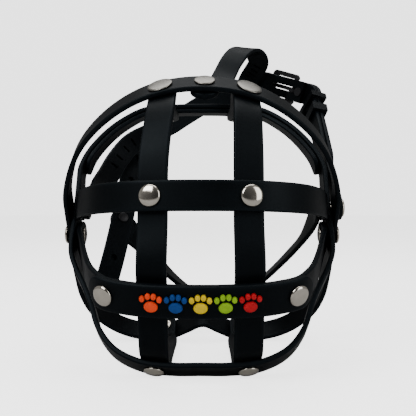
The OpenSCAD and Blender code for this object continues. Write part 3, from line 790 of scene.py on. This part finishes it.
# Cuts: (along the strap, across it, depth about the inner face)
SLOT = (1.3, 5.2, 3.4)
SIZE_HOLE = (3.6, 3.6, 4.4)     # blind: a thin skin is left on the outer face
TONGUE_SLOT = (16.5, 3.2, 16)
TONGUE_SLOT_T = 1.25            # its middle, along the strap from the middle of the buckle
FOREHEAD_SLOTS = [(34.7, 147.5, 91.5), (33.3, 151.1, 89.6), (31.9, 153.9, 87.7), (30.6, 156, 86)]
NECK_SLOTS = [(-43.3, 128.5, 40), (-47, 121.5, 35.5), (-50, 115, 30), (-52.3, 109.5, 25)]
SIZE_HOLE_ROWS = (1, 2, 4, 5)   # of the size strap's route


def forehead_strap():
    piece = sweep("forehead_webbing", curve(FOREHEAD_ROUTE))
    cut(piece, route_cuts(FOREHEAD_ROUTE, FOREHEAD_SLOTS, SLOT))
    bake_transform(piece)
    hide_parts("forehead_strap")


def neck_straps():
    left = sweep("neck_strap_left_webbing", curve(NECK_LEFT_ROUTE))
    tongue_cut = cutter(axes(BUCKLE_AT + TONGUE_SLOT_T * BUCKLE_T, BUCKLE_N, BUCKLE_T), TONGUE_SLOT)
    cut(left, route_cuts(NECK_LEFT_ROUTE, NECK_SLOTS, SLOT) + [tongue_cut])
    finish_piece(left, "neck_loop", "neck_strap_left")
    right = sweep("neck_strap_right_webbing", curve(NECK_RIGHT_ROUTE))
    finish_piece(right, "neck_loop", "neck_strap_right")
    size = sweep("size_strap_webbing", curve(SIZE_ROUTE))
    holes = [SIZE_ROUTE[i][:3] for i in SIZE_HOLE_ROWS]
    cut(size, route_cuts(SIZE_ROUTE, holes, SIZE_HOLE, round_hole=True))
    finish_piece(size, "neck_loop", "size_strap")
    throat = sweep("throat_strap_webbing", curve(THROAT_ROUTE))
    finish_piece(throat, "neck_loop", "throat_strap")


basket_straps()
forehead_strap()
neck_straps()


# ---------------------------------------------------------------- rivets
def lathe(name, outline_rz, matrix, material):
    """Turns a (radius, height) outline about Z; both ends lie on the axis."""
    segments = 56
    verts, faces = [], []
    inner = outline_rz[1:-1]
    for r, z in inner:
        for k in range(segments):
            a = 2 * math.pi * k / segments
            verts.append((r * math.cos(a), r * math.sin(a), z))
    for j in range(len(inner) - 1):
        for k in range(segments):
            m = (k + 1) % segments
            faces.append((j * segments + k, j * segments + m, (j + 1) * segments + m, (j + 1) * segments + k))
    for z, ring, flip in ((outline_rz[0][1], 0, True), (outline_rz[-1][1], len(inner) - 1, False)):
        centre = len(verts)
        verts.append((0, 0, z))
        for k in range(segments):
            m = (k + 1) % segments
            tri = (centre, ring * segments + k, ring * segments + m)
            faces.append(tuple(reversed(tri)) if flip else tri)
    return new_piece(name, [matrix @ Vector(v) for v in verts], faces, material)


def rivet_outline(r, grip, cap_h):
    """Tail head, post and domed cap with a rolled rim."""
    tail_r = r * 0.8
    base = -grip - TAIL_H
    rim_top = 0.62
    tail = [(0, base), (tail_r - 0.5, base), (tail_r - 0.15, base + 0.1), (tail_r, base + 0.32),
            (tail_r, base + 0.6), (tail_r - 0.1, -grip), (POST_R, -grip + 0.02)]
    rim = [(POST_R, -0.02), (r - 0.45, 0.0), (r - 0.15, 0.05), (r, 0.22), (r, 0.42), (r - 0.12, 0.6)]
    dome = [(r * 0.965 * math.cos(math.radians(a)), rim_top + (cap_h - rim_top) * math.sin(math.radians(a)))
            for a in range(12, 90, 10)]
    return tail + rim + dome + [(0, cap_h)]


def rivet(name, at, out, grip, r=CAP_R, material=POLISHED):
    """A rivet whose cap sits at a place and whose inner head lies `grip` below it."""
    cap_h = FLAT_CAP_H if material is SATIN else CAP_H
    return lathe(name, rivet_outline(r, grip, cap_h), axes(at, out), material)


def basket_rivet(name, place, layers, slot_name, node, mirrored=False, **more):
    """A rivet through a basket station, or through its mirror image."""
    p, n, _, room = place
    flip = np.array([-1 if mirrored else 1, 1, 1])
    grip = layers * LAYER + room + SEAT + AIR
    piece = rivet(name, (p + SEAT * n) * flip, n * flip, grip, **more)
    finish_piece(piece, "basket", node)


def rivet_pair(name, place, layers, slot_name, node, **more):
    """The same rivet on both sides."""
    basket_rivet(name + "_right", place, layers, slot_name, node, **more)
    basket_rivet(name + "_left", place, layers, slot_name, node, mirrored=True, **more)


def basket_rivets():
    badge_p, badge_n, across, _ = LOWER_BADGE
    badge = (badge_p + (LAYER + AIR) * badge_n, badge_n, across, 0.55)
    side_room = SIDE_FACE - BAND_FACE - SEAT
    side = (np.array([SIDE_FACE - AIR, HUB_Y, -2 * HUB_GAP]), np.array([1.0, 0, 0]), None, side_room)
    wide = {"r": WIDE_CAP_R, "material": SATIN}
    basket_rivet("bridge_cap_right", TOP_RIGHT, 2, "satin_rivet", "bridge_rivets", **wide)
    basket_rivet("bridge_cap_left", TOP_LEFT, 2, "satin_rivet", "bridge_rivets", mirrored=True, **wide)
    basket_rivet("forehead_cap", TOP_MID, 2, "satin_rivet", "forehead_rivet", material=SATIN)
    rivet_pair("rear_bridge_cap", CHIN_REAR, 3, "satin_rivet", "rear_bridge_rivets", material=SATIN)
    rivet_pair("nose_cap", UPPER_FRONT, 2, "polished_rivet", "nose_rivets")
    rivet_pair("badge_cap", badge, 2, "polished_rivet", "badge_rivets")
    rivet_pair("chin_cap", CHIN_FRONT, 2, "polished_rivet", "chin_rivets")
    rivet_pair("floor_cap", TOP_FLOOR, 2, "polished_rivet", "floor_rivets")
    rivet_pair("side_cap", side, 1, "polished_rivet", "lower_side_rivets")


def swivel_rivets():
    right_x = OUTER_X + STRAP_T / 2 + AIR
    swivels = (
        ("swivel_cap_left", -SIDE_FACE - AIR, SIDE_FACE - INNER_END, "swivel_rivet_left"),
        ("swivel_cap_right", right_x, right_x - INNER_END, "swivel_rivet_right"),
    )
    for name, x, grip, node in swivels:
        piece = rivet(name, np.array([x, HUB_Y, 0]), np.array([math.copysign(1, x), 0, 0]), grip)
        finish_piece(piece, "basket", node)


def harness_rivets():
    """The small black ones: name, place, room beside the two straps, node."""
    harness = (
        ("nape_cap", NAPE_AT, 2.1, "nape_rivet"), ("size_cap", SIZE_AT, 1.0, "size_rivet"),
        ("throat_cap", STUD_AT, 0.9, "throat_stud"),
    )
    for name, place, room, node in harness:
        piece = rivet(name, *place, 2 * LAYER + room, SMALL_CAP_R, BLACK_METAL)
        finish_piece(piece, "neck_loop", node)


basket_rivets()
swivel_rivets()
harness_rivets()


# ---------------------------------------------------------------- paw prints on the badge strip
PAW_PITCH = 10.0
PAW_H = 1.2
PALM = (0, -1.75, 2.9, 2.45)    # middle and radii of the big pad
TOE_PITCH = 2.4
TOE_TOP = 3.1                   # top of the arch of toes over the middle of the paw
TOE_ARCH = 0.6                  # how fast the arch falls to its sides
TOE_R = (1.12, 1.4)
PAD_SIDES = 24
PAD_RINGS = [(1.0, 0.0), (1.0, 0.55), (0.93, 0.82), (0.78, 0.97), (0.45, 1.06)]     # (radius, height) shares
PAD_TOP = 1.1


def pad(work, x, y, rx, ry, matrix):
    """One softly domed oval pad."""
    def vert(share, angle, height):
        place = (x + rx * share * math.cos(angle), y + ry * share * math.sin(angle), PAW_H * height)
        return work.verts.new(matrix @ Vector(place))

    angles = [2 * math.pi * k / PAD_SIDES for k in range(PAD_SIDES)]
    loops = [[vert(share, angle, height) for angle in angles] for share, height in PAD_RINGS]
    for low, high in zip(loops, loops[1:]):
        for k in range(PAD_SIDES):
            m = (k + 1) % PAD_SIDES
            work.faces.new((low[k], low[m], high[m], high[k]))
    top = vert(0, 0, PAD_TOP)
    foot = vert(0, 0, 0)
    for k in range(PAD_SIDES):
        m = (k + 1) % PAD_SIDES
        work.faces.new((loops[-1][k], loops[-1][m], top))
        work.faces.new((loops[0][m], loops[0][k], foot))


def paw(node, place):
    """A paw print, `place` steps to the right of the middle of the strip."""
    p, n, up, _ = station("lower", place * PAW_PITCH)
    matrix = axes(p + (LAYER + 0.02) * n, n, np.cross(up, n))
    work = bmesh.new()
    pad(work, *PALM, matrix)
    for toe in (-1.5, -0.5, 0.5, 1.5):
        pad(work, toe * TOE_PITCH, TOE_TOP - TOE_ARCH * toe * toe, *TOE_R, matrix)
    mesh = bpy.data.meshes.new(node + "_print")
    work.to_mesh(mesh)
    work.free()
    smooth(mesh)
    mesh.materials.append(PAWS[node])
    piece = bpy.data.objects.new(node + "_print", mesh)
    bpy.context.scene.collection.objects.link(piece)
    finish_piece(piece, "basket", node)


for index, node in enumerate(PAWS):
    paw(node, index - len(PAWS) // 2)


# ---------------------------------------------------------------- buckle, chape and keepers
def soften(node, material, width):
    """Shows a CAD node as it is, with its edges rounded over a width in metres and a better material."""
    piece = frame["nodes"][node]
    piece.data.materials.clear()
    piece.data.materials.append(material)
    bevel = piece.modifiers.new("soft_edges", "BEVEL")
    bevel.width = width
    bevel.segments = 3
    bevel.limit_method = "ANGLE"
    bevel.angle_limit = math.radians(35)
    bevel.harden_normals = False


def buckle():
    """The buckle's metal, the folded webbing that holds it, and the two keepers."""
    soften("buckle_frame", BLACK_METAL, 0.0006)
    soften("buckle_tongue", BLACK_METAL, 0.0004)
    soften("buckle_chape", STRAP, 0.0006)
    soften("chape_rivet", BLACK_METAL, 0.0001)
    soften("sliding_keeper", STRAP, 0.0006)
    soften("fixed_keeper", STRAP, 0.0006)


buckle()


# ---------------------------------------------------------------- studio
BACKDROP = 2.8          # brightness of the background
FLOOR_GLOW = 2.4        # brightness added to the floor
ROOM_LIGHT = 0.30       # brightness of the room around the muzzle
ROOM_DARK = 0.05        # and in front of it
FLOOR_HALF = 6.0        # metres
MUZZLE_AT = (0, 0, 0.08)


def pale_material():
    """Pale sheet, as bright as the background to the camera and dimmer in the metal's reflections."""
    m = Nodes("pale_floor")
    rays = m.new("ShaderNodeLightPath").outputs
    m.use("Base Color", m.mix(rays["Is Glossy Ray"], grey(0.92), grey(0.40)))
    m.set(Roughness=0.9, Specular_IOR_Level=0.1, Emission_Color=(1, 1, 1, 1))
    level = m.new("ShaderNodeMath", operation="MULTIPLY")
    level.inputs[1].default_value = FLOOR_GLOW
    m.link(rays["Is Camera Ray"], level.inputs[0])
    m.use("Emission Strength", level.outputs[0])
    return m.material


def surroundings():
    """White for the camera; for reflections a dimmer room that is darkest towards the photographer."""
    data = bpy.data.worlds.new("studio")
    data.use_nodes = True
    tree = data.node_tree
    background = tree.nodes["Background"]
    background.inputs["Color"].default_value = (1, 1, 1, 1)
    split = tree.nodes.new("ShaderNodeSeparateXYZ")
    room = tree.nodes.new("ShaderNodeMapRange")
    ramp = {"From Min": -1.0, "From Max": -0.35, "To Min": ROOM_DARK, "To Max": ROOM_LIGHT}
    for name, value in ramp.items():
        room.inputs[name].default_value = value
    level = tree.nodes.new("ShaderNodeMix")
    level.inputs[3].default_value = BACKDROP
    link = tree.links.new
    link(tree.nodes.new("ShaderNodeTexCoord").outputs["Generated"], split.inputs[0])
    link(split.outputs["Y"], room.inputs["Value"])
    link(room.outputs["Result"], level.inputs[2])
    link(tree.nodes.new("ShaderNodeLightPath").outputs["Is Camera Ray"], level.inputs[0])
    link(level.outputs[0], background.inputs["Strength"])
    bpy.context.scene.world = data


def make_floor():
    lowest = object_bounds()[0][2]
    mesh = bpy.data.meshes.new("floor")
    corners = [(x * FLOOR_HALF, y * FLOOR_HALF, lowest) for x, y in ((-1, -1), (1, -1), (1, 1), (-1, 1))]
    mesh.from_pydata(corners, [], [(0, 1, 2, 3)])
    mesh.materials.append(pale_material())
    floor = bpy.data.objects.new("floor", mesh)
    bpy.context.scene.collection.objects.link(floor)


def softbox(name, place, width, height, power):
    """A rectangular lamp turned towards the muzzle, in metres and watts."""
    data = bpy.data.lights.new(name, "AREA")
    data.shape = "RECTANGLE"
    data.size, data.size_y, data.energy = width, height, power
    lamp = bpy.data.objects.new(name, data)
    lamp.location = place
    direction = Vector(MUZZLE_AT) - Vector(place)
    lamp.rotation_euler = direction.to_track_quat("-Z", "Y").to_euler()
    bpy.context.scene.collection.objects.link(lamp)


surroundings()
make_floor()
softbox("key", (-0.55, -0.75, 0.75), 0.6, 0.6, 9)
softbox("fill", (0.75, -0.55, 0.35), 0.5, 0.8, 4)
softbox("top", (0.0, 0.1, 0.95), 0.8, 0.8, 6)
